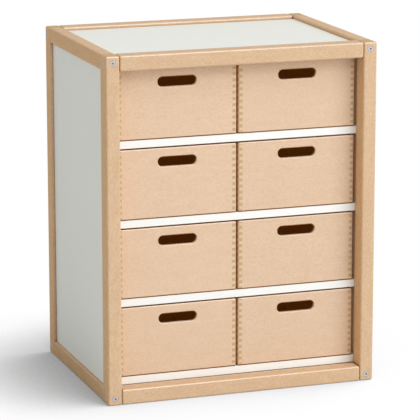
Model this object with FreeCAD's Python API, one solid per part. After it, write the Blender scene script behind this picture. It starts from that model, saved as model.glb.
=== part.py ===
import FreeCAD, Part
import math
import os

# Drawer unit: a beech post-and-rail frame that holds white boards, with loose wooden
# drawer boxes standing side by side on the shelves.
# Millimetres. X runs along the front to the right, Y from the front to the back, Z up.
# The origin is the middle of the unit's footprint, on the floor.

Vector = FreeCAD.Vector

# Whole unit
frame_width = 800.0
frame_depth = 600.0
frame_height = 990.0

# Posts and rails
post_width = 40.0
post_depth = 50.0
rail_height = 44.0
timber_round = 5.5
seam_bevel = 0.5

# White boards: panels in grooves, shelves and bottom board between the side panels
board_thickness = 22.0
board_edge_round = 1.0
side_recess = 9.0
top_recess = 10.0
back_recess = 10.0
groove_depth = 8.0
groove_play = 0.2
shelf_play = 0.5

# Drawer boxes
drawer_rows = 4
drawer_columns = 2
drawer_gap = 6.6
drawer_headroom = 3.5
drawer_setback = 1.0
drawer_back_play = 1.0
box_wall = 12.0
box_round = 4.0
finger_width = 8.8
slot_width = 113.0
slot_height = 27.0
slot_drop = 40.0
slot_round = 3.0
box_floor_thickness = 5.0
box_floor_rise = 8.0
box_groove_depth = 5.0

# Frame bolts with barrel nuts, and the dowels beside them
bolt_radius = 3.0
bolt_hole_play = 0.3
bolt_length = 80.0
bolt_tip_past_nut = 10.0
head_radius = 8.5
head_thickness = 2.0
head_play = 0.3
head_rim_round = 0.6
socket_across_flats = 5.0
socket_depth = 3.5
nut_radius = 5.0
nut_length = 14.0
nut_play = 0.1
thread_play = 0.1
hole_end_play = 1.0
end_bolt_rise = 19.5
side_bolt_rise = 27.5
side_bolt_from_post_front = 34.0
dowel_radius = 3.0
dowel_length = 36.0
dowel_play = 0.1
end_dowel_rise = 9.0
side_dowel_from_post_front = 16.0

# Shelf pins
pin_radius = 2.5
pin_shank = 9.0
pin_play = 0.1
tongue_reach = 8.0
tongue_width = 10.0
tongue_height = 6.0
pin_inset = 60.0

# Worked out from the sizes above
half_width = frame_width / 2
half_depth = frame_depth / 2
clear_half_width = half_width - post_width
clear_half_depth = half_depth - post_depth
side_panel_inner = half_width - side_recess - board_thickness
back_panel_front = half_depth - back_recess - board_thickness
bottom_board_top = rail_height + board_thickness
row_opening = (frame_height - 2 * rail_height - drawer_rows * board_thickness) / drawer_rows
row_pitch = row_opening + board_thickness
shelf_half_width = side_panel_inner - shelf_play
shelf_half_depth = clear_half_depth - shelf_play
box_front = -clear_half_depth + drawer_setback
box_width = (2 * clear_half_width - (drawer_columns + 1) * drawer_gap) / drawer_columns
box_length = back_panel_front - drawer_back_play - box_front
box_height = row_opening - drawer_headroom
nut_from_face = head_thickness + bolt_length - bolt_tip_past_nut

LEFT, RIGHT = -1, 1
FRONT, BACK = -1, 1
SIDE_NAMES = {LEFT: "left", RIGHT: "right"}
FACE_NAMES = {FRONT: "front", BACK: "back"}

# How far a cutter runs past what it cuts, and how near two places count as one
CUT_MARGIN = 1.0
SAME_PLACE = 0.001
NEAR_PLACE = 0.1


def block(low, high):
    """Plain box between two corners."""
    size = [upper - lower for lower, upper in zip(low, high)]
    return Part.makeBox(*size, Vector(*low))


def grown(low, high, margin):
    """Plain box that stands out of the given one by a margin on every side."""
    return block([value - margin for value in low], [value + margin for value in high])


def rounded_bar(low, high, radius, square_ends=()):
    """Box with rounded edges, cut off square at the ends named by (axis, side)."""
    outer_low, outer_high = list(low), list(high)
    for axis, side in square_ends:
        if side < 0:
            outer_low[axis] -= 2 * radius
        else:
            outer_high[axis] += 2 * radius
    bar = block(outer_low, outer_high)
    bar = bar.makeFillet(radius, bar.Edges)
    return bar.common(block(low, high)) if square_ends else bar


def cylinder(centre, direction, radius, length):
    """Cylinder that starts at a point and runs along a direction."""
    return Part.makeCylinder(radius, length, Vector(*centre), Vector(*direction))


def post_front_face(face):
    """Y of a post's front face, for the front or the back pair of posts."""
    return -half_depth if face == FRONT else clear_half_depth


def end_level(top, rise):
    """Height that lies a given distance inside the frame's top or bottom."""
    return frame_height - rise if top else rise


def corner_fixings():
    """Every frame corner: its sides, its height, and the bolt and dowel points in it."""
    corners = []
    for side in (LEFT, RIGHT):
        for face in (FRONT, BACK):
            for top in (False, True):
                end_x = side * (half_width - post_width / 2)
                bolt_y = post_front_face(face) + side_bolt_from_post_front
                dowel_y = post_front_face(face) + side_dowel_from_post_front
                side_z = end_level(top, side_bolt_rise)
                corners.append({
                    "side": side,
                    "face": face,
                    "end_bolt": (end_x, face * half_depth, end_level(top, end_bolt_rise)),
                    "side_bolt": (side * half_width, bolt_y, side_z),
                    "end_dowel": (end_x, face * clear_half_depth, end_level(top, end_dowel_rise)),
                    "side_dowel": (side * clear_half_width, dowel_y, side_z),
                })
    return corners


def placed_along(shape, point, direction):
    """Copy of a shape made along +Z, turned to a direction and moved to a point."""
    copy = shape.copy()
    turn = FreeCAD.Rotation(Vector(0, 0, 1), Vector(*direction))
    copy.Placement = FreeCAD.Placement(Vector(*point), turn)
    return copy


def end_bolt_direction(corner):
    return (0, -corner["face"], 0)


def side_bolt_direction(corner):
    return (-corner["side"], 0, 0)


def hexagon(across_flats, height):
    """Six-sided prism that stands on Z = 0."""
    corner_radius = across_flats / math.sqrt(3)
    angles = [math.radians(60 * step) for step in range(7)]
    points = [Vector(corner_radius * math.cos(a), corner_radius * math.sin(a), 0) for a in angles]
    return Part.Face(Part.makePolygon(points)).extrude(Vector(0, 0, height))


def bolt():
    """Flat-headed bolt along +Z, with the top of its head on Z = 0."""
    head = Part.makeCylinder(head_radius, head_thickness)
    rim = [edge for edge in head.Edges if len(edge.Vertexes) == 1 and edge.BoundBox.ZMax < SAME_PLACE]
    head = head.makeFillet(head_rim_round, rim)
    shank = Part.makeCylinder(bolt_radius, bolt_length, Vector(0, 0, head_thickness))
    return head.fuse(shank).cut(hexagon(socket_across_flats, socket_depth)).removeSplitter()


def bolt_cutter():
    """Hole for a bolt along +Z: a shallow seat for the head and a clear hole."""
    seat = Part.makeCylinder(head_radius + head_play, head_thickness)
    hole_length = head_thickness + bolt_length + bolt_radius
    hole = Part.makeCylinder(bolt_radius + bolt_hole_play, hole_length)
    return seat.fuse(hole)


def frame_bolts():
    template = bolt()
    bolts = []
    for corner in corner_fixings():
        bolts.append(placed_along(template, corner["end_bolt"], end_bolt_direction(corner)))
        bolts.append(placed_along(template, corner["side_bolt"], side_bolt_direction(corner)))
    return bolts


def bolt_holes():
    template = bolt_cutter()
    holes = []
    for corner in corner_fixings():
        holes.append(placed_along(template, corner["end_bolt"], end_bolt_direction(corner)))
        holes.append(placed_along(template, corner["side_bolt"], side_bolt_direction(corner)))
    return holes


def nut_centres(corner):
    """Centres of the two barrel nuts of a corner, with each nut's axis towards the inside."""
    end_x, end_y, end_z = corner["end_bolt"]
    side_x, side_y, side_z = corner["side_bolt"]
    in_side_rail = (end_x, end_y - corner["face"] * nut_from_face, end_z)
    in_cross_rail = (side_x - corner["side"] * nut_from_face, side_y, side_z)
    inward_x = (-corner["side"], 0, 0)
    inward_y = (0, -corner["face"], 0)
    return [(in_side_rail, inward_x, (0, -corner["face"], 0)),
            (in_cross_rail, inward_y, (-corner["side"], 0, 0))]


def stepped(point, direction, distance):
    return tuple(value + part * distance for value, part in zip(point, direction))


def barrel_nuts():
    nuts = []
    for corner in corner_fixings():
        for centre, axis, bolt_way in nut_centres(corner):
            body = cylinder(stepped(centre, axis, -nut_length / 2), axis, nut_radius, nut_length)
            bore_start = stepped(centre, bolt_way, -2 * nut_radius)
            bore = cylinder(bore_start, bolt_way, bolt_radius + thread_play, 4 * nut_radius)
            nuts.append(body.cut(bore))
    return nuts


def nut_holes():
    """Blind holes for the barrel nuts, drilled from the inner faces of the rails."""
    holes = []
    for corner in corner_fixings():
        for centre, axis, _ in nut_centres(corner):
            start = stepped(centre, axis, -nut_length / 2 - hole_end_play)
            holes.append(cylinder(start, axis, nut_radius + nut_play, post_depth + post_width))
    return holes


def dowels():
    pins = []
    for corner in corner_fixings():
        for name, axis in (("end_dowel", (0, 1, 0)), ("side_dowel", (1, 0, 0))):
            start = stepped(corner[name], axis, -dowel_length / 2)
            pins.append(cylinder(start, axis, dowel_radius, dowel_length))
    return pins


def dowel_holes():
    holes = []
    for corner in corner_fixings():
        for name, axis in (("end_dowel", (0, 1, 0)), ("side_dowel", (1, 0, 0))):
            start = stepped(corner[name], axis, -dowel_length / 2 - hole_end_play)
            length = dowel_length + 2 * hole_end_play
            holes.append(cylinder(start, axis, dowel_radius + dowel_play, length))
    return holes


def side_panel_box(side):
    inner, outer = sorted((side * side_panel_inner, side * (half_width - side_recess)))
    reach = clear_half_depth + groove_depth
    low = (inner, -reach, rail_height - groove_depth)
    high = (outer, reach, frame_height - rail_height + groove_depth)
    return low, high


def back_panel_box():
    reach = clear_half_width + groove_depth
    low = (-reach, back_panel_front, rail_height - groove_depth)
    high = (reach, back_panel_front + board_thickness, frame_height - rail_height + groove_depth)
    return low, high


def top_panel_box():
    reach_x = clear_half_width + groove_depth
    reach_y = clear_half_depth + groove_depth
    top = frame_height - top_recess
    return (-reach_x, -reach_y, top - board_thickness), (reach_x, reach_y, top)


def top_panel():
    """Board of the top, with its corners cut out round the posts."""
    panel = block(*top_panel_box())
    for side in (LEFT, RIGHT):
        for face in (FRONT, BACK):
            low, high = post_box(side, face)
            panel = panel.cut(grown(low, high, groove_play))
    return panel


def grooves():
    """Grooves for the panels, a little wider and deeper than the panels' edges."""
    boxes = [side_panel_box(LEFT), side_panel_box(RIGHT), back_panel_box()]
    return [grown(low, high, groove_play) for low, high in boxes]


def post_box(side, face):
    x_pair = sorted((side * clear_half_width, side * half_width))
    y_front = post_front_face(face)
    return (x_pair[0], y_front, 0.0), (x_pair[1], y_front + post_depth, frame_height)


def post(side, face, cutters):
    low, high = post_box(side, face)
    timber = rounded_bar(low, high, timber_round, [(1, -face)])
    return timber.cut(cutters)


def rail_levels(top):
    return (frame_height - rail_height, frame_height) if top else (0.0, rail_height)


def seam_bevelled(timber, axis, reach):
    """Timber with a fine bevel round both of its square ends."""
    ends = []
    for edge in timber.Edges:
        box = edge.BoundBox
        low, high = ((box.XMin, box.XMax), (box.YMin, box.YMax))[axis]
        if high - low < SAME_PLACE and abs(abs(low) - reach) < SAME_PLACE:
            ends.append(edge)
    return timber.makeChamfer(seam_bevel, ends)


def side_rail(side, top, cutters):
    """Rail between the front and the back post of one side."""
    x_pair = sorted((side * clear_half_width, side * half_width))
    z_low, z_high = rail_levels(top)
    low = (x_pair[0], -clear_half_depth, z_low)
    high = (x_pair[1], clear_half_depth, z_high)
    timber = rounded_bar(low, high, timber_round, [(1, FRONT), (1, BACK)])
    timber = seam_bevelled(timber, 1, clear_half_depth)
    return timber.cut(cutters)


def cross_rail(face, top, cutters):
    """Rail between the left and the right post of the front or the back."""
    z_low, z_high = rail_levels(top)
    y_front = post_front_face(face)
    low = (-clear_half_width, y_front, z_low)
    high = (clear_half_width, y_front + post_depth, z_high)
    timber = rounded_bar(low, high, timber_round)
    return timber.cut(cutters)


def shelf_level(row):
    """Height of the board that the boxes of a row stand on, row 1 being the top one."""
    return bottom_board_top + (drawer_rows - row) * row_pitch


def shelf(row):
    top = shelf_level(row)
    low = (-shelf_half_width, -shelf_half_depth, top - board_thickness)
    high = (shelf_half_width, shelf_half_depth, top)
    return rounded_bar(low, high, board_edge_round)


def shelf_pin_points():
    """Where each shelf pin leaves the side panel, with the side that it stands on."""
    points = []
    for row in range(1, drawer_rows):
        level = shelf_level(row) - board_thickness
        for side in (LEFT, RIGHT):
            for face in (FRONT, BACK):
                y = face * (shelf_half_depth - pin_inset)
                points.append((side, (side * side_panel_inner, y, level)))
    return points


def shelf_pins():
    """Pins with a flat tongue under the shelf and a round shank in the side panel."""
    pins = []
    for side, (x, y, level) in shelf_pin_points():
        x_pair = sorted((x, x - side * tongue_reach))
        low = (x_pair[0], y - tongue_width / 2, level - tongue_height)
        high = (x_pair[1], y + tongue_width / 2, level)
        middle = (x, y, level - tongue_height / 2)
        pins.append(block(low, high).fuse(cylinder(middle, (side, 0, 0), pin_radius, pin_shank)))
    return pins


def pin_holes():
    holes = []
    for side, (x, y, level) in shelf_pin_points():
        start = (x - side * CUT_MARGIN, y, level - tongue_height / 2)
        length = CUT_MARGIN + pin_shank + hole_end_play
        holes.append(cylinder(start, (side, 0, 0), pin_radius + pin_play, length))
    return holes


def slot_bar():
    """Round-ended bar through the box front, in the box's own frame."""
    radius = slot_height / 2
    half_straight = (slot_width - slot_height) / 2
    level = box_height - slot_drop
    low = (-half_straight, -box_wall, level - radius)
    high = (half_straight, 2 * box_wall, level + radius)
    bar = block(low, high)
    for end in (LEFT, RIGHT):
        centre = (end * half_straight, -box_wall, level)
        bar = bar.fuse(cylinder(centre, (0, 1, 0), radius, 3 * box_wall))
    return bar.removeSplitter()


def box_walls():
    """The four walls of a box as one ring, with rounded edges and a hand slot."""
    half = box_width / 2
    inner = half - box_wall
    outside = block((-half, 0, 0), (half, box_length, box_height))
    inside_low = (-inner, box_wall, -CUT_MARGIN)
    inside_high = (inner, box_length - box_wall, box_height + CUT_MARGIN)
    inside = block(inside_low, inside_high)
    ring = outside.cut(inside)
    ring = ring.makeFillet(box_round, [edge for edge in ring.Edges if not is_inner_upright(edge)])
    walls = ring.cut(slot_bar())
    return walls.makeFillet(slot_round, [edge for edge in walls.Edges if is_slot_rim(edge)])


def is_inner_upright(edge):
    """Whether an edge of the ring stands in one of its inner corners."""
    box = edge.BoundBox
    return box.ZLength > box_height / 2 and abs(box.XMin) < box_width / 2 - box_wall / 2


def is_slot_rim(edge):
    """Whether an edge of the walls runs round the slot, on the front or the inner face."""
    box = edge.BoundBox
    beside_slot = max(abs(box.XMin), abs(box.XMax)) < slot_width / 2 + NEAR_PLACE
    level = box_height - slot_drop
    at_level = max(abs(box.ZMin - level), abs(box.ZMax - level)) < slot_height / 2 + NEAR_PLACE
    return beside_slot and at_level and box.YLength < NEAR_PLACE and box.YMax < box_length / 2


def box_floor_box():
    """Corners of the box's floor, which reaches into the walls' groove."""
    half = box_width / 2 - box_wall + box_groove_depth
    near = box_wall - box_groove_depth
    low = (-half, near, box_floor_rise)
    high = (half, box_length - near, box_floor_rise + box_floor_thickness)
    return low, high


def finger_bands(odd):
    """Heights of every other finger of a corner joint, counted from the bottom."""
    count = math.ceil(box_height / finger_width)
    first = 1 if odd else 0
    return [(step * finger_width, min((step + 1) * finger_width, box_height))
            for step in range(first, count, 2)]


def corner_blocks(x_side, y_end, odd):
    """The parts of one box corner that belong to the same wall."""
    x_pair = sorted((x_side * box_width / 2, x_side * (box_width / 2 - box_wall)))
    y_pair = (0.0, box_wall) if y_end == FRONT else (box_length - box_wall, box_length)
    return [block((x_pair[0], y_pair[0], low), (x_pair[1], y_pair[1], high))
            for low, high in finger_bands(odd)]


def wall_region(name):
    """Space of one wall: its straight part, and its fingers in the two corners."""
    half = box_width / 2
    inner = half - box_wall
    if name in FACE_NAMES.values():
        y_end = FRONT if name == "front" else BACK
        y_pair = (0.0, box_wall) if y_end == FRONT else (box_length - box_wall, box_length)
        region = block((-inner, y_pair[0], 0), (inner, y_pair[1], box_height))
        fingers = corner_blocks(LEFT, y_end, y_end == FRONT)
        fingers += corner_blocks(RIGHT, y_end, y_end == BACK)
    else:
        x_side = LEFT if name == "left" else RIGHT
        x_pair = sorted((x_side * half, x_side * inner))
        region = block((x_pair[0], box_wall, 0), (x_pair[1], box_length - box_wall, box_height))
        fingers = corner_blocks(x_side, FRONT, x_side == RIGHT)
        fingers += corner_blocks(x_side, BACK, x_side == LEFT)
    return region.fuse(fingers)


def drawer_box():
    """The pieces of one box, in the box's own frame: front face on Y = 0, base on Z = 0."""
    low, high = box_floor_box()
    floor = block(low, high)
    walls = box_walls().cut(grown(low, high, groove_play))
    pieces = {name: [walls.common(wall_region(name)).removeSplitter()]
              for name in ("front", "back", "left", "right")}
    return {
        "front": pieces["front"],
        "sides": pieces["left"] + pieces["right"],
        "back": pieces["back"],
        "bottom": [floor],
    }


def column_centre(column):
    """X of the middle of a column of boxes, column 0 being the left one."""
    first = -clear_half_width + drawer_gap + box_width / 2
    return first + column * (box_width + drawer_gap)


def column_name(column):
    return "left" if column == 0 else "right" if column == 1 else f"column{column + 1}"


def drawers():
    """Nodes of every box, each a moved copy of the same pieces."""
    pieces = drawer_box()
    nodes = {}
    for row in range(1, drawer_rows + 1):
        for column in range(drawer_columns):
            place = Vector(column_centre(column), box_front, shelf_level(row))
            for name, solids in pieces.items():
                node = f"drawer_{row}_{column_name(column)}_{name}"
                nodes[node] = [solid.translated(place) for solid in solids]
    return nodes


def frame_timbers():
    """Posts and rails, with their grooves and holes."""
    groove_cutters = grooves()
    hole_cutters = bolt_holes() + dowel_holes()
    post_cutters = groove_cutters + hole_cutters
    rail_cutters = post_cutters + nut_holes() + [grown(*top_panel_box(), groove_play)]
    nodes = {}
    for side in (LEFT, RIGHT):
        for face in (FRONT, BACK):
            node = f"post_{FACE_NAMES[face]}_{SIDE_NAMES[side]}"
            nodes[node] = [post(side, face, post_cutters)]
    for top, level in ((True, "top"), (False, "bottom")):
        for side in (LEFT, RIGHT):
            nodes[f"side_rail_{SIDE_NAMES[side]}_{level}"] = [side_rail(side, top, rail_cutters)]
        for face in (FRONT, BACK):
            nodes[f"cross_rail_{FACE_NAMES[face]}_{level}"] = [cross_rail(face, top, rail_cutters)]
    return nodes


def boards():
    """Panels, shelves and bottom board."""
    holes = pin_holes()
    nodes = {
        "side_panel_left": [block(*side_panel_box(LEFT)).cut(holes)],
        "side_panel_right": [block(*side_panel_box(RIGHT)).cut(holes)],
        "back_panel": [block(*back_panel_box())],
        "top_panel": [top_panel()],
        "bottom_board": [shelf(drawer_rows)],
    }
    for row in range(1, drawer_rows):
        nodes[f"shelf_{row}"] = [shelf(row)]
    return nodes


def fixings():
    return {
        "frame_bolts": frame_bolts(),
        "barrel_nuts": barrel_nuts(),
        "frame_dowels": dowels(),
        "shelf_pins": shelf_pins(),
    }


def write_nodes(nodes):
    os.makedirs("parts", exist_ok=True)
    for node, shapes in nodes.items():
        solids = [solid for shape in shapes for solid in shape.Solids]
        shape = solids[0] if len(solids) == 1 else Part.makeCompound(solids)
        shape.exportStep(f"parts/{node}.step")
        print(f"{node}: {len(solids)} solids, {shape.Volume / 1000:.1f} cm3, valid {shape.isValid()}")


def main():
    nodes = {}
    nodes.update(frame_timbers())
    nodes.update(boards())
    nodes.update(fixings())
    nodes.update(drawers())
    write_nodes(nodes)
    print(f"{len(nodes)} nodes, box {box_width:.2f} x {box_length:.2f} x {box_height:.2f}")


main()
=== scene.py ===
"""Looks of a beech drawer unit: the finishes of its pieces, and its floor, light and camera.

Metres. X runs along the front to the right, Y from the front to the back, Z up.
The origin is the middle of the unit's footprint, on the floor.
"""

import logging
import math
from dataclasses import dataclass, field
from enum import Enum

import bpy
from mathutils import Euler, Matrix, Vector


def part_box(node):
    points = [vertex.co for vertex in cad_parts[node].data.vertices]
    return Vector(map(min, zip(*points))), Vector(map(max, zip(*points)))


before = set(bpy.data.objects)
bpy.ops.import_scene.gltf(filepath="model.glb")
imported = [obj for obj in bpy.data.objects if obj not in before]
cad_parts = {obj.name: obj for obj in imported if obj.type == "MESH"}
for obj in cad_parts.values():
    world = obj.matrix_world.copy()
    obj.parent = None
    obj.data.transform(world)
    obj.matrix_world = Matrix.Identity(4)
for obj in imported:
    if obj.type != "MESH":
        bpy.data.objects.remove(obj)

LOG = logging.getLogger("drawer_unit")
MM_PER_METRE = 1000.0
PHOTO_PIXELS = 420
SENSOR_MM = 36.0

Colour = tuple[float, float, float]
Point = tuple[float, float, float]
Span = tuple[float, float]

WHITE: Colour = (1.0, 1.0, 1.0)
BLACK: Colour = (0.0, 0.0, 0.0)

# What is kept on each piece, for its material to read.
PIECE_NUMBER = "piece_number"
HOLLOW_MIDDLE = "hollow_middle"

# The Mix node's two colour inputs and its colour output. Their names are used more than once.
MIX_FIRST = 6
MIX_SECOND = 7
MIX_RESULT = 2

# How far a surface faces one way, where 1 is straight that way.
FLAT_FACE: Span = (0.60, 0.90)
END_FACE: Span = (0.80, 0.95)
TOP_EDGE: Span = (0.15, 0.40)
LOWER_EDGE: Span = (0.02, 0.25)

# Painted shade in seams: how much is open at their deepest, and the height above the floor where it
# sets in.
SHUT_SHARE = 0.12
OFF_FLOOR_MM: Span = (3.0, 9.0)
OPEN_SHARE_SAMPLES = 8

# Spreads the shades of pieces whose numbers follow each other.
GOLDEN_SHARE = 0.618


def screen_colour(red: int, green: int, blue: int) -> Colour:
    """Linear colour of a screen colour, by the sRGB curve.

    Args:
        red: Red, 0 to 255.
        green: Green, 0 to 255.
        blue: Blue, 0 to 255.

    Returns:
        The same colour in linear light, each part 0 to 1.
    """
    def linear(part: int) -> float:
        """One part of the colour in linear light."""
        share = part / 255.0
        return share / 12.92 if share <= 0.04045 else ((share + 0.055) / 1.055) ** 2.4

    return linear(red), linear(green), linear(blue)


class Value:
    """A number that varies over a surface: a node socket that plain arithmetic works on."""

    def __init__(self, graph: "NodeGraph", socket: bpy.types.NodeSocket) -> None:
        """Wraps a socket.

        Args:
            graph: The graph that the socket is in.
            socket: The output socket that gives the number.
        """
        self.graph = graph
        self.socket = socket

    def maths(self, operation: str, *operands: "Value | float") -> "Value":
        """Adds one Math node.

        Args:
            operation: The node's operation.
            *operands: What goes into its sockets, in order.

        Returns:
            The node's result.
        """
        inputs = dict(enumerate(operands))
        node = self.graph.node("ShaderNodeMath", {"operation": operation}, inputs)
        return Value(self.graph, node.outputs[0])

    def __add__(self, other: "Value | float") -> "Value":
        """The sum of this and another."""
        return self.maths("ADD", self, other)

    __radd__ = __add__

    def __sub__(self, other: "Value | float") -> "Value":
        """This less another."""
        return self.maths("SUBTRACT", self, other)

    def __rsub__(self, other: float) -> "Value":
        """A number less this."""
        return self.maths("SUBTRACT", other, self)

    def __mul__(self, other: "Value | float") -> "Value":
        """The product of this and another."""
        return self.maths("MULTIPLY", self, other)

    __rmul__ = __mul__

    def __pow__(self, power: float) -> "Value":
        """This to a power."""
        return self.maths("POWER", self, power)

    def __abs__(self) -> "Value":
        """This without its sign."""
        return self.maths("ABSOLUTE", self)

    def __or__(self, other: "Value | float") -> "Value":
        """The larger of this and another, so that either mask holds."""
        return self.maths("MAXIMUM", self, other)

    __ror__ = __or__

    def sine(self) -> "Value":
        """The sine of this, in radians."""
        return self.maths("SINE", self)

    def fraction(self) -> "Value":
        """What is left of this without its whole part."""
        return self.maths("FRACT", self)


@dataclass(frozen=True)
class Pattern:
    """A noise: how many features it has to the millimetre along three ways, and its layers."""

    per_mm: Point
    detail: float = 2.0
    roughness: float = 0.5


class Blend(Enum):
    """How one colour goes over another."""

    OVER = "MIX"
    TIMES = "MULTIPLY"


class NodeGraph:
    """Adds nodes to one node tree."""

    def __init__(self, tree: bpy.types.NodeTree) -> None:
        """Empties a tree, to build it anew.

        Args:
            tree: The tree of a material or of the world.
        """
        self.tree = tree
        self.tree.nodes.clear()

    def node(
        self, kind: str, settings: dict | None = None, inputs: dict | None = None
    ) -> bpy.types.Node:
        """Makes a node.

        Args:
            kind: Blender's name of the node's type.
            settings: Its properties, set first.
            inputs: Values or links of its sockets, by name or number.

        Returns:
            The node.
        """
        made = self.tree.nodes.new(kind)
        for name, setting in (settings or {}).items():
            setattr(made, name, setting)
        for name, given in (inputs or {}).items():
            self._feed(made.inputs[name], given)
        return made

    def _feed(self, socket: bpy.types.NodeSocket, given: object) -> None:
        """Links a socket, or sets its value.

        Args:
            socket: The input socket.
            given: A Value or a socket to link, or a number, vector or colour to set.
        """
        if isinstance(given, Value):
            self.tree.links.new(given.socket, socket)
        elif isinstance(given, bpy.types.NodeSocket):
            self.tree.links.new(given, socket)
        elif isinstance(given, tuple) and socket.type == "RGBA":
            socket.default_value = (*given, 1.0)
        else:
            socket.default_value = given

    def mix(
        self, mask: Value, first: object, second: object, blend: Blend = Blend.OVER
    ) -> bpy.types.NodeSocket:
        """Mixes two colours.

        Args:
            mask: 0 for the first, 1 for the second.
            first: A colour or a socket that gives one.
            second: The same.
            blend: How the second goes over the first.

        Returns:
            The mixed colour.
        """
        settings = {"data_type": "RGBA", "blend_type": blend.value}
        inputs = {0: mask, MIX_FIRST: first, MIX_SECOND: second}
        return self.node("ShaderNodeMix", settings, inputs).outputs[MIX_RESULT]

    def toned(self, colour: bpy.types.NodeSocket, level: Value) -> bpy.types.NodeSocket:
        """A colour whose brightness is multiplied by a level."""
        inputs = {"Color": colour, "Value": level}
        return self.node("ShaderNodeHueSaturation", inputs=inputs).outputs[0]

    def vector(self, x: Value | float, y: Value | float, z: Value | float) -> bpy.types.NodeSocket:
        """A vector made of three values."""
        return self.node("ShaderNodeCombineXYZ", inputs={"X": x, "Y": y, "Z": z}).outputs[0]

    def parts(self, vector: bpy.types.NodeSocket) -> list[Value]:
        """The three values that a vector is made of."""
        split = self.node("ShaderNodeSeparateXYZ", inputs={"Vector": vector})
        return [Value(self, socket) for socket in split.outputs]

    def noise(self, pattern: Pattern, place: list[Value]) -> Value:
        """Soft noise about 0.5.

        Args:
            pattern: How fine it is.
            place: Where it is read, as three distances in millimetres.

        Returns:
            The noise.
        """
        scaled = (part * per_mm for part, per_mm in zip(place, pattern.per_mm))
        inputs = {
            "Vector": self.vector(*scaled),
            "Scale": 1.0,
            "Detail": pattern.detail,
            "Roughness": pattern.roughness,
        }
        return Value(self, self.node("ShaderNodeTexNoise", inputs=inputs).outputs[0])

    def step(self, value: Value, span: Span) -> Value:
        """A smooth step.

        Args:
            value: The value to read.
            span: Where the step starts, at 0, and where it ends, at 1.

        Returns:
            The step's height.
        """
        start, end = span
        inputs = {"Value": value, "From Min": start, "From Max": end}
        node = self.node("ShaderNodeMapRange", {"interpolation_type": "SMOOTHSTEP"}, inputs)
        return Value(self, node.outputs[0])

    def place_mm(self) -> list[Value]:
        """Place on the resting piece along X, Y and Z, in millimetres."""
        place = self.node("ShaderNodeTexCoord").outputs["Object"]
        return [part * MM_PER_METRE for part in self.parts(place)]

    def facing(self) -> list[Value]:
        """How far the surface faces along X, Y and Z, from -1 to 1 each."""
        return self.parts(self.node("ShaderNodeTexCoord").outputs["Normal"])

    def rounded_top_edge(self) -> Value:
        """1 on the rounded front and back edges of a piece's top, 0 on its flat faces."""
        _, y, z = self.facing()
        return self.step(abs(y), TOP_EDGE) * self.step(z, TOP_EDGE)

    def underside(self) -> Value:
        """Where shade is painted: 1 on the rounded lower edges and the underside of a piece, 0 on
        its upright faces.
        """
        return self.step(self.facing()[2] * -1.0, LOWER_EDGE)

    def open_share(self, reach: float, way: Point | None = None) -> Value:
        """How much of what a place looks at is open.

        Args:
            reach: How near a surface has to be to close it off, in metres.
            way: The way that the place looks, if not straight off its surface.

        Returns:
            0 where all is closed off, to 1 in the open.
        """
        inputs = {"Distance": reach}
        if way:
            inputs["Normal"] = self.vector(*way)
        settings = {"samples": OPEN_SHARE_SAMPLES}
        node = self.node("ShaderNodeAmbientOcclusion", settings, inputs)
        return Value(self, node.outputs["AO"])

    def crease_shade(self, reach_mm: float, open_share: float) -> Value:
        """Painted shade: 1 deep in a seam, a gap or a corner, 0 in the open and close to the floor.

        Args:
            reach_mm: How near the other surface has to be, in millimetres.
            open_share: How much of what a place looks at is open where the crease ends.

        Returns:
            The depth of the painted shade.
        """
        opened = self.step(self.open_share(reach_mm / MM_PER_METRE), (SHUT_SHARE, open_share))
        return (1.0 - opened) * self.step(self.place_mm()[2], OFF_FLOOR_MM)

    def mixed_shader(self, mask: Value, first: object, second: object) -> bpy.types.NodeSocket:
        """Mixes two shaders: the first where the mask is 0, the second where it is 1."""
        return self.node("ShaderNodeMixShader", inputs={0: mask, 1: first, 2: second}).outputs[0]

    def glow(self, colour: Colour) -> bpy.types.NodeSocket:
        """A shader that shines in one colour."""
        inputs = {"Color": colour, "Strength": 1.0}
        return self.node("ShaderNodeEmission", inputs=inputs).outputs[0]

    def sky(self, strength: float) -> bpy.types.NodeSocket:
        """A white sky of one strength."""
        inputs = {"Color": WHITE, "Strength": strength}
        return self.node("ShaderNodeBackground", inputs=inputs).outputs[0]

    def matt(self, colour: Colour) -> bpy.types.NodeSocket:
        """A shader that scatters light in one colour."""
        return self.node("ShaderNodeBsdfDiffuse", inputs={"Color": colour}).outputs[0]

    def kept(self, name: str) -> bpy.types.Node:
        """The node that reads what is kept on each piece under a name."""
        settings = {"attribute_type": "OBJECT", "attribute_name": name}
        return self.node("ShaderNodeAttribute", settings)

    def surface(self, inputs: dict, relief: Value, relief_mm: float) -> None:
        """Ends a material with its shader.

        Args:
            inputs: The shader's sockets.
            relief: Height of the surface's relief, 0 to 1.
            relief_mm: How high 1 is, in millimetres.
        """
        heights = {"Height": relief, "Distance": relief_mm / MM_PER_METRE}
        bump = self.node("ShaderNodeBump", inputs=heights)
        sockets = {**inputs, "Normal": bump.outputs[0]}
        shader = self.node("ShaderNodeBsdfPrincipled", inputs=sockets)
        self.node("ShaderNodeOutputMaterial", inputs={"Surface": shader.outputs[0]})


def new_material(name: str) -> tuple[bpy.types.Material, NodeGraph]:
    """Makes a material with an empty graph.

    Args:
        name: Its name.

    Returns:
        The material and its graph.
    """
    material = bpy.data.materials.new(name)
    material.use_nodes = True
    return material, NodeGraph(material.node_tree)


class Grain(Enum):
    """The way the fibres of a piece of wood run, as the number of its axis."""

    SIDEWAYS = 0
    BACKWARDS = 1
    UPRIGHT = 2


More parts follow.
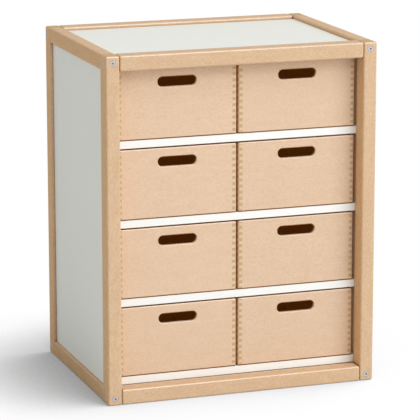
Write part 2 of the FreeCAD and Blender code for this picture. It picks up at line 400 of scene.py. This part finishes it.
@dataclass(frozen=True)
class BeechFinish:
    """Clear-lacquered beech: a face with flecks and faint rings, and darker end grain.

    The faces are matt, and the lacquer is glossier on the rounded edges of a top. Shade is
    painted darker and warmer into seams, and on the drawer boxes into the undersides too. Faces
    that look left get a painted shade tint, and a box's inner faces and sides a faint painted
    glow of bounce light.
    """

    name: str
    pale: Colour
    warm: Colour
    fleck: Colour
    end_pale: Colour
    end_dark: Colour
    # Painted shade: a deeper, warmer tint multiplied onto the faces that look left, away from the
    # lamps.
    painted_shade_tint: Colour = (1.06, 0.99, 0.84)
    # Colour of the shade painted into seams, gaps and corners, and under the boxes.
    crease_shade: Colour = screen_colour(136, 76, 14)
    crease_reach_mm: float = 9.0
    crease_open_share: float = 0.90
    underside_shade: float = 0.0
    # Faint warm glow of painted bounce light on a box's inner faces and sides; black for none.
    painted_hollow_light: Colour = BLACK
    hollow_depth: Span = (0.08, 0.12)
    piece_shift_mm: Point = (173.0, 41.0, 23.0)
    piece_contrast: float = 0.05
    clouds: Pattern = Pattern((0.014, 0.05, 0.05), 3.0, 0.55)
    cloud_contrast: float = 0.22
    mottle: Pattern = Pattern((0.10, 0.24, 0.24), 2.0, 0.6)
    mottle_contrast: float = 0.50
    soft_patch: Span = (0.30, 0.70)
    dashes: Pattern = Pattern((0.22, 1.1, 1.1), 1.0, 0.5)
    fleck_patch: Span = (0.57, 0.68)
    fleck_contrast: float = 0.42
    ring_mm: float = 3.4
    ring_slant: float = 0.35
    ring_drift: float = 0.05
    ring_sway: Pattern = Pattern((0.006, 0.012, 0.012), 2.0, 0.5)
    ring_sway_mm: float = 90.0
    ring_contrast: float = 0.14
    end_ring_contrast: float = 0.45
    pores: Pattern = Pattern((0.4, 1.6, 1.6), 3.0, 0.6)
    pore_patch: Span = (0.42, 0.66)
    end_pore_contrast: float = 0.4
    fibres: Pattern = Pattern((0.05, 2.4, 2.4), 2.0, 0.6)
    fibre_relief: float = 0.6
    pore_relief: float = 0.4
    relief_mm: float = 0.05
    roughness: float = 0.70
    roughness_spread: float = 0.12
    end_roughness: float = 0.1
    specular: float = 0.12
    lacquer_roughness: float = 0.28
    lacquer_ior: float = 1.9

    def material(self, grain: Grain) -> bpy.types.Material:
        """The finish on a piece whose fibres run one way.

        Args:
            grain: The way they run.

        Returns:
            The material.
        """
        material, graph = new_material(f"{self.name}_{grain.name.lower()}")
        number = Value(graph, graph.kept(PIECE_NUMBER).outputs["Fac"])
        place = self.place_in_wood(graph, grain, number)
        rings = self.rings(graph, place)
        pores = graph.noise(self.pores, place)
        fibres = graph.noise(self.fibres, place)
        end_shade = rings * self.end_ring_contrast
        end_shade += graph.step(pores, self.pore_patch) * self.end_pore_contrast
        end = graph.mix(end_shade, self.end_pale, self.end_dark)
        end_mask = graph.step(abs(graph.facing()[grain.value]), END_FACE)
        # Painted shade: faces that look left get the shade tint.
        painted_shade_side = graph.step(graph.facing()[0] * -1.0, FLAT_FACE)
        level = 1.0 - self.piece_contrast / 2 + self.piece_contrast * self.scattered(number)
        toned = graph.toned(graph.mix(end_mask, self.face(graph, place, rings), end), level)
        tinted = graph.mix(painted_shade_side, toned, self.painted_shade_tint, Blend.TIMES)
        # Painted shade: seams, gaps and corners darken towards the shade colour, and on the boxes
        # so do the undersides.
        seam_shade = graph.crease_shade(self.crease_reach_mm, self.crease_open_share)
        shaded = seam_shade | graph.underside() * self.underside_shade
        smoothest = self.roughness - self.roughness_spread / 2
        graph.surface({
            "Base Color": graph.mix(shaded, tinted, self.crease_shade),
            "Roughness": (smoothest + fibres * self.roughness_spread
                          + end_mask * self.end_roughness),
            "Specular IOR Level": self.specular,
            "Coat Weight": graph.rounded_top_edge(),
            "Coat Roughness": self.lacquer_roughness,
            "Coat IOR": self.lacquer_ior,
            # Painted bounce light: a faint warm glow, though no lamp.
            "Emission Color": graph.mix(self.painted_light_faces(graph), BLACK, self.painted_hollow_light),
            "Emission Strength": 1.0,
        }, fibres * self.fibre_relief + pores * self.pore_relief, self.relief_mm)
        return material

    def place_in_wood(self, graph: NodeGraph, grain: Grain, number: Value) -> list[Value]:
        """Place in the wood, which is a part of its own for each piece.

        Args:
            graph: The material's graph.
            grain: The way the fibres run.
            number: The piece's number.

        Returns:
            Place along the fibres, across them and across them the other way, in millimetres.
        """
        place = graph.place_mm()
        fibres_first = [place.pop(grain.value), *place]
        return [part + number * shift for part, shift in zip(fibres_first, self.piece_shift_mm)]

    def painted_light_faces(self, graph: NodeGraph) -> Value:
        """Finds the faces of a box that get a faint painted glow, standing in for the light from
        its other boards.

        Args:
            graph: The material's graph.

        Returns:
            1 on a box's inner faces and on its two sides, 0 on its front, back and rims.
        """
        here = graph.node("ShaderNodeTexCoord")
        inwards = graph.node("ShaderNodeVectorMath", {"operation": "SUBTRACT"}, {
            0: graph.kept(HOLLOW_MIDDLE).outputs["Vector"], 1: here.outputs["Object"]})
        depth = graph.node("ShaderNodeVectorMath", {"operation": "DOT_PRODUCT"}, {
            0: inwards.outputs[0], 1: here.outputs["Normal"]})
        inner = graph.step(Value(graph, depth.outputs["Value"]), self.hollow_depth)
        return inner | graph.step(abs(graph.facing()[0]), FLAT_FACE)

    @staticmethod
    def scattered(number: Value) -> Value:
        """A shade for each piece's number, from 0 to 1."""
        return (number * GOLDEN_SHARE).fraction()

    def rings(self, graph: NodeGraph, place: list[Value]) -> Value:
        """Growth rings, sawn through at a slant so that they show as long arches.

        Args:
            graph: The material's graph.
            place: Place in the wood.

        Returns:
            0 in early wood to 1 in late wood.
        """
        along, across, deep = place
        sideways = across * self.ring_slant + graph.noise(self.ring_sway, place) * self.ring_sway_mm
        radius = (sideways * sideways + deep * deep) ** 0.5 + along * self.ring_drift
        wave = (radius * (2 * math.pi / self.ring_mm)).sine() * 0.5 + 0.5
        return wave * wave

    def face(self, graph: NodeGraph, place: list[Value], rings: Value) -> bpy.types.NodeSocket:
        """Colour of the long faces.

        Args:
            graph: The material's graph.
            place: Place in the wood.
            rings: The growth rings.

        Returns:
            The colour.
        """
        clouds = graph.step(graph.noise(self.clouds, place), self.soft_patch)
        mottle = graph.step(graph.noise(self.mottle, place), self.soft_patch)
        warmth = clouds * self.cloud_contrast + mottle * self.mottle_contrast
        ground = graph.mix(warmth + rings * self.ring_contrast, self.pale, self.warm)
        flecks = graph.step(graph.noise(self.dashes, place), self.fleck_patch)
        return graph.mix(flecks * self.fleck_contrast, ground, self.fleck)


@dataclass(frozen=True)
class BoardFinish:
    """White melamine-faced board with a slightly brighter edge band, shade painted into its seams
    and undersides, and a faint painted glow of bounce light on the side panels' inner faces.
    """

    name: str
    face: Colour
    edge: Colour
    crease_shade: Colour
    # Faint warm glow of painted bounce light on the side panels' inner faces.
    painted_inner_light: Colour
    crease_reach_mm: float = 6.0
    crease_open_share: float = 0.62
    # How dark the painted shade on a board's lower edges and underside is.
    underside_shade: float = 0.8
    inner_face_mm: float = 369.0
    off_face_mm: Span = (0.5, 1.0)
    haze: Pattern = Pattern((0.004, 0.004, 0.004), 2.0, 0.5)
    haze_contrast: float = 0.03
    peel: Pattern = Pattern((0.9, 0.9, 0.9), 2.0, 0.5)
    relief_mm: float = 0.01
    roughness: float = 0.55
    roughness_spread: float = 0.1
    specular: float = 0.2

    def material(self) -> bpy.types.Material:
        """The finish.

        Returns:
            The material.
        """
        material, graph = new_material(self.name)
        place = graph.place_mm()
        x_facing, y_facing, _ = graph.facing()
        peel = graph.noise(self.peel, place)
        haze = graph.noise(self.haze, place)
        ground = graph.mix(graph.step(abs(y_facing), FLAT_FACE), self.face, self.edge)
        dulled = graph.toned(ground, 1.0 - self.haze_contrast / 2 + haze * self.haze_contrast)
        # Painted bounce light: the side panels' inner faces glow faintly warm.
        off_face = graph.step(abs(abs(place[0]) - self.inner_face_mm), self.off_face_mm)
        inner_light_mask = graph.step(abs(x_facing), FLAT_FACE) * (1.0 - off_face)
        # Painted shade: seams, corners and the board's underside darken towards the shade colour.
        seam_shade = graph.crease_shade(self.crease_reach_mm, self.crease_open_share)
        shaded = seam_shade | graph.underside() * self.underside_shade
        smoothest = self.roughness - self.roughness_spread / 2
        graph.surface({
            "Base Color": graph.mix(shaded, dulled, self.crease_shade),
            "Roughness": smoothest + peel * self.roughness_spread,
            "Specular IOR Level": self.specular,
            "Emission Color": graph.mix(inner_light_mask, BLACK, self.painted_inner_light),
            "Emission Strength": 1.0,
        }, peel, self.relief_mm)
        return material


@dataclass(frozen=True)
class SteelFinish:
    """Zinc-plated steel, dulled by its coating, with fine marks, and shade painted near black into
    its socket.
    """

    name: str
    bright: Colour
    dull: Colour
    # Colour of the shade painted into the socket and other hollows.
    crease_shade: Colour = (0.02, 0.02, 0.022)
    crease_reach_mm: float = 4.0
    crease_open_share: float = 0.62
    crease_roughness: float = 0.3
    spots: Pattern = Pattern((0.8, 0.8, 0.8), 3.0, 0.6)
    spot_patch: Span = (0.35, 0.70)
    marks: Pattern = Pattern((5.0, 5.0, 1.2), 2.0, 0.6)
    mark_roughness: float = 0.14
    relief_mm: float = 0.02
    metallic: float = 0.15
    roughness: float = 0.42
    specular: float = 0.3

    def material(self) -> bpy.types.Material:
        """The finish.

        Returns:
            The material.
        """
        material, graph = new_material(self.name)
        place = graph.place_mm()
        marks = graph.noise(self.marks, place)
        spots = graph.step(graph.noise(self.spots, place), self.spot_patch)
        plate = graph.mix(spots, self.bright, self.dull)
        # Painted shade: the socket and other hollows darken to near black, and are rougher.
        crease_shade = graph.crease_shade(self.crease_reach_mm, self.crease_open_share)
        graph.surface({
            "Base Color": graph.mix(crease_shade, plate, self.crease_shade),
            "Roughness": (self.roughness + marks * self.mark_roughness
                          + crease_shade * self.crease_roughness),
            "Metallic": self.metallic,
            "Specular IOR Level": self.specular,
        }, marks, self.relief_mm)
        return material


Finish = BeechFinish | BoardFinish | SteelFinish

FRAME_BEECH = BeechFinish(
    "beech_frame",
    pale=screen_colour(226, 196, 162),
    warm=screen_colour(210, 173, 137),
    fleck=screen_colour(176, 128, 86),
    end_pale=screen_colour(216, 182, 142),
    end_dark=screen_colour(186, 148, 106),
)
DRAWER_BEECH = BeechFinish(
    "beech_drawer",
    pale=screen_colour(232, 204, 177),
    warm=screen_colour(220, 188, 155),
    fleck=screen_colour(196, 154, 116),
    end_pale=screen_colour(212, 182, 138),
    end_dark=screen_colour(180, 144, 98),
    # Painted shade on the boxes' lower edges and undersides.
    underside_shade=0.9,
    crease_open_share=0.62,
    # Painted bounce light on the box's inner faces and sides.
    painted_hollow_light=(0.016, 0.0055, 0.0002),
    mottle_contrast=0.40,
    ring_contrast=0.08,
    piece_contrast=0.03,
)
FLOOR_BEECH = BeechFinish(
    "drawer_floor",
    pale=screen_colour(226, 200, 164),
    warm=screen_colour(208, 176, 134),
    fleck=screen_colour(170, 132, 90),
    end_pale=screen_colour(180, 146, 104),
    end_dark=screen_colour(130, 100, 66),
    # Painted bounce light on the box floor.
    painted_hollow_light=(0.017, 0.0065, 0.0003),
)
WHITE_BOARD = BoardFinish(
    "white_board",
    face=screen_colour(241, 242, 234),
    edge=screen_colour(249, 249, 245),
    # Colour of the shade painted into the boards' seams and undersides.
    crease_shade=screen_colour(152, 104, 60),
    # Painted bounce light on the side panels' inner faces.
    painted_inner_light=(0.030, 0.014, 0.005),
)
BOLT_STEEL = SteelFinish(
    "bolt_steel",
    bright=screen_colour(197, 199, 201),
    dull=screen_colour(182, 184, 187),
)
PIN_STEEL = SteelFinish(
    "pin_steel",
    bright=screen_colour(196, 196, 198),
    dull=screen_colour(172, 172, 176),
)


class Wardrobe:
    """Hands out materials, each made once."""

    def __init__(self) -> None:
        """Starts with none made."""
        self.made: dict[tuple[str, Grain | None], bpy.types.Material] = {}

    def get(self, finish: Finish, grain: Grain | None = None) -> bpy.types.Material:
        """The material of a finish.

        Args:
            finish: The finish.
            grain: The way the fibres run, for wood.

        Returns:
            The material, made on the first call.
        """
        key = (finish.name, grain)
        if key not in self.made:
            self.made[key] = finish.material(grain) if grain else finish.material()
        return self.made[key]


@dataclass
class SubAssembly:
    """Pieces that are dressed alike, and numbered in the order in which they are."""

    finishes: Wardrobe
    numbered: int = field(default=0, init=False)

    def dress(self, node: str, finish: Finish, grain: Grain | None = None) -> None:
        """Gives one piece its finish.

        Args:
            node: The piece's name.
            finish: Its finish.
            grain: The way its fibres run, for wood.
        """
        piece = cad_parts[node]
        self.numbered += 1
        piece[PIECE_NUMBER] = float(self.numbered)
        piece.data.materials.clear()
        piece.data.materials.append(self.finishes.get(finish, grain))
        LOG.info("%s: %s", node, finish.name)


@dataclass
class TimberFrame(SubAssembly):
    """Posts and rails."""

    grains: tuple[tuple[str, Grain], ...] = (
        ("post", Grain.UPRIGHT),
        ("side_rail", Grain.BACKWARDS),
        ("cross_rail", Grain.SIDEWAYS),
    )

    def dress_all(self) -> None:
        """Dresses every post and rail, with the grain along its length."""
        for prefix, grain in self.grains:
            for node in sorted(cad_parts):
                if node.startswith(prefix):
                    self.dress(node, FRAME_BEECH, grain)


@dataclass
class WhiteBoards(SubAssembly):
    """Panels, shelves and bottom board."""

    boards: tuple[str, ...] = (
        "back_panel", "bottom_board", "shelf_1", "shelf_2", "shelf_3",
        "side_panel_left", "side_panel_right", "top_panel",
    )

    def dress_all(self) -> None:
        """Dresses every board."""
        for node in self.boards:
            self.dress(node, WHITE_BOARD)


@dataclass
class DrawerBoxes(SubAssembly):
    """The boards of every drawer box."""

    def dress_all(self) -> None:
        """Dresses every board of every box, with the grain along its length."""
        looks = {
            "front": (DRAWER_BEECH, Grain.SIDEWAYS),
            "back": (DRAWER_BEECH, Grain.SIDEWAYS),
            "sides": (DRAWER_BEECH, Grain.BACKWARDS),
            "bottom": (FLOOR_BEECH, Grain.SIDEWAYS),
        }
        for node in sorted(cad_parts):
            if node.startswith("drawer_"):
                drawer, part = node.rsplit("_", 1)
                self.dress(node, *looks[part])
                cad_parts[node][HOLLOW_MIDDLE] = self.hollow_middle(drawer)

    @staticmethod
    def hollow_middle(drawer: str) -> list[float]:
        """The middle of a box's open top, in metres."""
        low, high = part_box(f"{drawer}_sides")
        return [(low[0] + high[0]) / 2, (low[1] + high[1]) / 2, high[2]]


@dataclass
class Fixings(SubAssembly):
    """Bolts, nuts, dowels and shelf pins."""

    def dress_all(self) -> None:
        """Dresses every group of fixings."""
        self.dress("frame_bolts", BOLT_STEEL)
        self.dress("barrel_nuts", PIN_STEEL)
        self.dress("shelf_pins", PIN_STEEL)
        self.dress("frame_dowels", FRAME_BEECH, Grain.BACKWARDS)


@dataclass(frozen=True)
class SoftBox:
    """A large soft lamp."""

    name: str
    place: Point
    size: float
    watts: float
    aim: Point = (0.0, 0.0, 0.5)

    def hang(self) -> None:
        """Puts the lamp up."""
        lamp = bpy.data.lights.new(self.name, "AREA")
        lamp.shape = "SQUARE"
        lamp.size = self.size
        lamp.energy = self.watts
        held = bpy.data.objects.new(self.name, lamp)
        held.location = self.place
        beam = Vector(self.aim) - Vector(self.place)
        held.rotation_euler = beam.to_track_quat("-Z", "Y").to_euler()
        bpy.context.scene.collection.objects.link(held)


@dataclass(frozen=True)
class Shadow:
    """One layer of the unit's shadow on the floor: what closes off the light from one way."""

    reach: float
    way: Point
    power: float

    def light(self, graph: NodeGraph) -> Value:
        """How much light the layer leaves, from 0 to 1."""
        return graph.open_share(self.reach, self.way) ** self.power


@dataclass(frozen=True)
class Studio:
    """White floor, white surroundings and soft lamps."""

    floor_radius: float = 40.0
    floor_sides: int = 96
    floor_drop: float = 0.0002
    floor_colour: Colour = (0.74, 0.74, 0.74)
    shaded_floor_colour: Colour = (0.03, 0.03, 0.03)
    seen_floor_level: float = 1.082
    near_shadow: Shadow = Shadow(reach=0.30, way=(0.80, -0.30, 0.52), power=0.44)
    wide_shadow: Shadow = Shadow(reach=0.50, way=(0.60, -0.60, 0.52), power=0.84)
    shadow_glow: Colour = (0.010, 0.003, 0.0)
    shadow_fade_mm: Span = (1200.0, 2600.0)
    sky_strength: float = 0.57
    seen_sky_strength: float = 1.0
    lamps: tuple[SoftBox, ...] = (
        SoftBox("top_lamp", place=(2.03, -5.57, 9.99), size=3.36, watts=202.0),
        SoftBox("high_lamp", place=(3.07, -8.40, 7.23), size=3.36, watts=228.0),
        SoftBox("low_lamp", place=(7.64, -7.64, 3.40), size=5.60, watts=356.0),
    )

    @staticmethod
    def seen_directly(graph: NodeGraph) -> Value:
        """Tells what is seen from what lights the object.

        Args:
            graph: The graph of the floor's material or of the world.

        Returns:
            1 where the camera sees a thing itself, in a mirror or through glass, else 0.
        """
        path = graph.node("ShaderNodeLightPath")
        kinds = ("Is Camera Ray", "Is Glossy Ray", "Is Transmission Ray")
        camera, glossy, through = (Value(graph, path.outputs[kind]) for kind in kinds)
        return camera | glossy | through

    def light_sky(self) -> None:
        """Makes the world white to the eye and softer as a light."""
        world = bpy.data.worlds.new("studio")
        world.use_nodes = True
        bpy.context.scene.world = world
        graph = NodeGraph(world.node_tree)
        as_light, as_seen = graph.sky(self.sky_strength), graph.sky(self.seen_sky_strength)
        sky = graph.mixed_shader(self.seen_directly(graph), as_light, as_seen)
        graph.node("ShaderNodeOutputWorld", inputs={"Surface": sky})

    def floor_material(self) -> bpy.types.Material:
        """White floor with the unit's soft shadow on the side away from the lamps.

        Returns:
            The material, which is plain white further out.
        """
        material, graph = new_material("studio_floor")
        x, y, _ = graph.place_mm()
        far = graph.step((x * x + y * y) ** 0.5, self.shadow_fade_mm)
        lit = self.near_shadow.light(graph) * self.wide_shadow.light(graph)
        lit *= self.seen_floor_level
        seen = graph.mixed_shader(lit + far, graph.glow(self.shadow_glow), graph.glow(WHITE))
        shaded, plain = graph.matt(self.shaded_floor_colour), graph.matt(self.floor_colour)
        bounced = graph.mixed_shader(lit, shaded, plain)
        shader = graph.mixed_shader(self.seen_directly(graph), bounced, seen)
        graph.node("ShaderNodeOutputMaterial", inputs={"Surface": shader})
        return material

    def lay_floor(self) -> None:
        """Makes the floor, a large disc just under the unit."""
        corners = []
        for side in range(self.floor_sides):
            turn = 2 * math.pi * side / self.floor_sides
            x, y = self.floor_radius * math.cos(turn), self.floor_radius * math.sin(turn)
            corners.append((x, y, -self.floor_drop))
        mesh = bpy.data.meshes.new("studio_floor")
        mesh.from_pydata(corners, [], [tuple(range(self.floor_sides))])
        mesh.materials.append(self.floor_material())
        floor = bpy.data.objects.new("studio_floor", mesh)
        bpy.context.scene.collection.objects.link(floor)

    def set_up(self) -> None:
        """Sets up the floor, the surroundings and the lamps."""
        self.light_sky()
        self.lay_floor()
        for lamp in self.lamps:
            lamp.hang()
        bpy.context.scene.view_settings.view_transform = "Standard"


@dataclass(frozen=True)
class Viewpoint:
    """The photograph's camera, with no shift."""

    place: Point = (-2.41554, -6.85813, 2.10941)
    turn: float = 0.33945
    tilt: float = 0.2217
    focal_pixels: float = 2554.93
    sight: float = 200.0

    def set_up(self) -> None:
        """Makes the camera and gives it to the scene."""
        data = bpy.data.cameras.new("photo_camera")
        data.sensor_width = SENSOR_MM
        data.lens = self.focal_pixels / PHOTO_PIXELS * SENSOR_MM
        data.clip_end = self.sight
        camera = bpy.data.objects.new("photo_camera", data)
        camera.location = self.place
        camera.rotation_euler = Euler((math.pi / 2 - self.tilt, 0.0, -self.turn))
        bpy.context.scene.collection.objects.link(camera)
        bpy.context.scene.camera = camera


def main() -> None:
    """Dresses the unit and sets up its studio."""
    logging.basicConfig(level=logging.INFO, format="%(message)s")
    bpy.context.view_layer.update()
    finishes = Wardrobe()
    for group in (TimberFrame, WhiteBoards, DrawerBoxes, Fixings):
        group(finishes).dress_all()
    Studio().set_up()
    Viewpoint().set_up()


if __name__ == "__main__":
    main()
